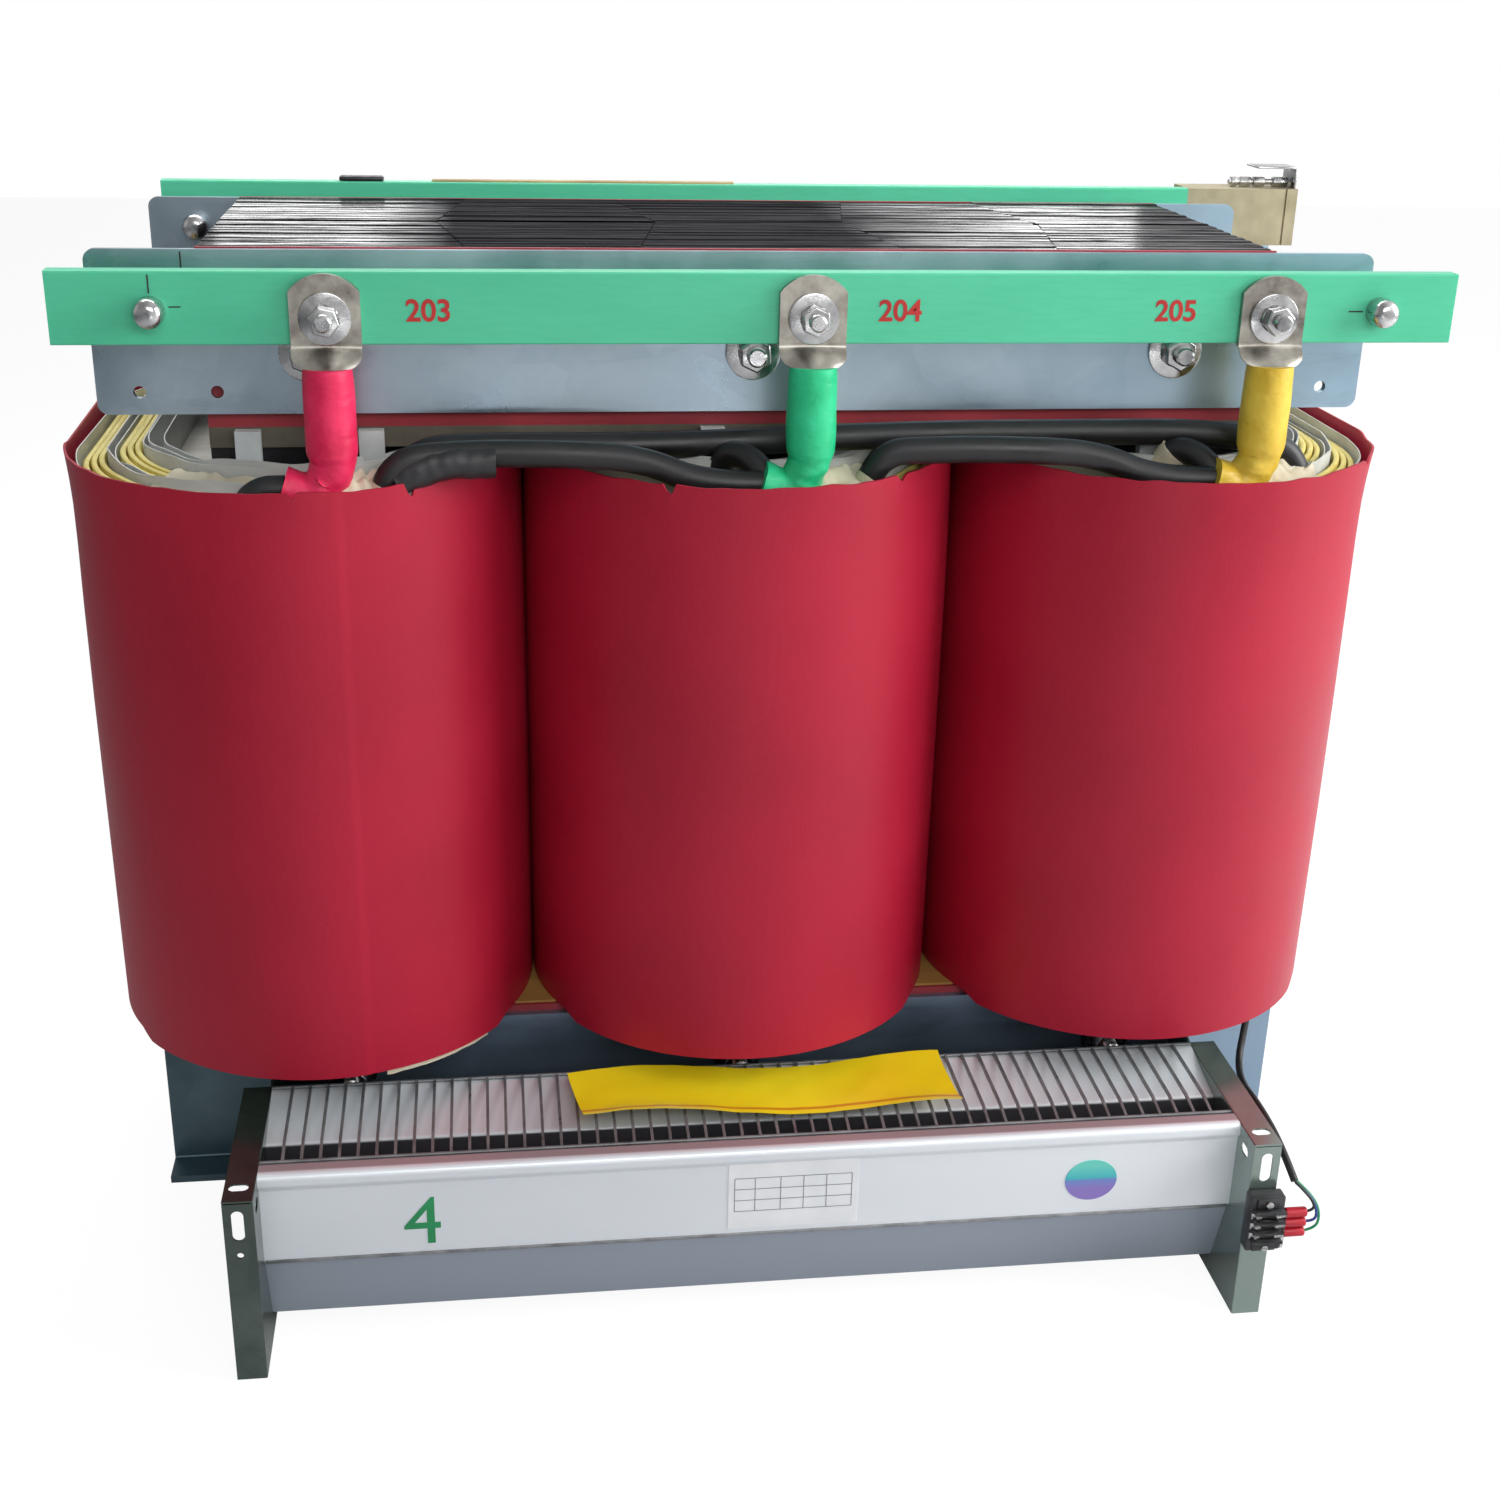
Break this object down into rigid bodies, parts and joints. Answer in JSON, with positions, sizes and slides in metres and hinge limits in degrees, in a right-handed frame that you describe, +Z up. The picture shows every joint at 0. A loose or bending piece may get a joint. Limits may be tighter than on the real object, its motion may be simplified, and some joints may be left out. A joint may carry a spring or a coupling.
{
  "type": "isolation transformer",
  "caption": "Open dry-type isolation transformer: red-wrapped oval coils on a black laminated core between zinc clamps, green terminal bars, coloured lead sleeves, fans along the base.",
  "frame": {"origin": "centre of the four floor-bolt holes in the base rails, at floor level", "axes": "+X along the core from the red-sleeved coil to the yellow-sleeved one, -Y to the front fan, +Z up"},
  "size_m": [1.05, 0.752, 0.819],
  "materials": {
    "core_lacquer": "glossy black lacquer over stacked laminations",
    "zinc_steel": "bluish zinc plate",
    "red_insulation": "red aramid-look sheet",
    "wrap_paper": "varnished deep red paper",
    "pressboard": "tan pressboard",
    "end_board": "grey-brown board",
    "winding": "foil layers with pale insulation edges",
    "duct_stick": "pale stick",
    "top_block": "cream moulded block",
    "bar_laminate": "green glass laminate",
    "bright_fixing": "bright plated",
    "tinned_lug": "tinned copper",
    "sleeve_red": "pink-red shrink sleeve",
    "sleeve_green": "green shrink sleeve",
    "sleeve_yellow": "yellow shrink sleeve",
    "lead_black": "black flexible lead",
    "fan_sheet": "pale grey sheet",
    "fan_zinc": "galvanised sheet",
    "guard_wire": "dull grey wire",
    "impeller_metal": "dull aluminium blades",
    "motor_dark": "dark motor shell",
    "block_beige": "beige moulded block",
    "block_grey": "grey moulded block"
  },
  "bodies": {
    "root": {"bar_fixings_front": "bright_fixing", "bar_fixings_rear": "bright_fixing", "base_rails": "zinc_steel", "coil_lead_stubs": "lead_black", "coil_top_blocks": "top_block", "coil_wrap_left": "wrap_paper", "coil_wrap_middle": "wrap_paper", "coil_wrap_right": "wrap_paper", "core_legs": "core_lacquer", "core_lower_yoke": "core_lacquer", "core_upper_yoke": "core_lacquer", "delta_leads": "lead_black", "duct_sticks": "duct_stick", "fan_front_end_plates": "fan_zinc", "fan_front_guard": "guard_wire", "fan_front_housing": "fan_sheet", "fan_front_impeller": "impeller_metal", "fan_front_motor": "motor_dark", "fan_front_terminal_block": "block_grey", "fan_rear_end_plates": "fan_zinc", "fan_rear_guard": "guard_wire", "fan_rear_housing": "fan_sheet", "fan_rear_impeller": "impeller_metal", "fan_rear_motor": "motor_dark", "fan_rear_terminal_block": "block_grey", "lower_clamp_front": "zinc_steel", "lower_clamp_rear": "zinc_steel", "lower_end_board": "pressboard", "lower_yoke_insulation": "red_insulation", "lugs_front": "tinned_lug", "lugs_rear": "tinned_lug", "rear_block_strap": "zinc_steel", "rear_end_block": "block_beige", "sleeve_green": "sleeve_green", "sleeve_red": "sleeve_red", "sleeve_yellow": "sleeve_yellow", "terminal_bar_front": "bar_laminate", "terminal_bar_rear": "bar_laminate", "terminal_studs_front": "bright_fixing", "terminal_studs_rear": "bright_fixing", "upper_clamp_front": "zinc_steel", "upper_clamp_rear": "zinc_steel", "upper_end_board": "end_board", "upper_yoke_insulation": "red_insulation", "winding_left": "winding", "winding_middle": "winding", "winding_right": "winding"}
  },
  "joints": []
}
